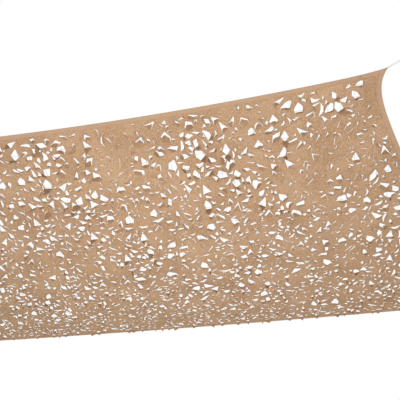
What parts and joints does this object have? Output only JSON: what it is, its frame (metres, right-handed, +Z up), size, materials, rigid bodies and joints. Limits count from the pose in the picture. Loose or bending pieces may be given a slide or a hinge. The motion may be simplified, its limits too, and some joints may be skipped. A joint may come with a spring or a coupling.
{
  "type": "leaf-cut net shade sail",
  "caption": "Trapezoid shade sail of tan leaf-cut netting with plain bound edges, hung on a white rope with a tied eye at each drawn-out corner.",
  "frame": {"origin": "where a hook bears inside the near right rope eye", "axes": "+X along the near edge to the right, +Y level from the near edge to the far edge, +Z up"},
  "size_m": [5.1596, 2.0737, 0.5212],
  "materials": {
    "net_cloth": "matt woven polyester, slit into curling leaves",
    "binding_cloth": "matt woven polyester, folded and sewn",
    "rope": "white laid rope"
  },
  "bodies": {
    "root": {"net": "net_cloth", "binding_near": "binding_cloth", "binding_far": "binding_cloth", "binding_left": "binding_cloth", "binding_right": "binding_cloth", "rope_near_right": "rope", "knot_near_right": "rope", "eye_near_right": "rope", "rope_near_left": "rope", "knot_near_left": "rope", "eye_near_left": "rope", "rope_far_right": "rope", "knot_far_right": "rope", "eye_far_right": "rope", "rope_far_left": "rope", "knot_far_left": "rope", "eye_far_left": "rope"}
  },
  "joints": []
}
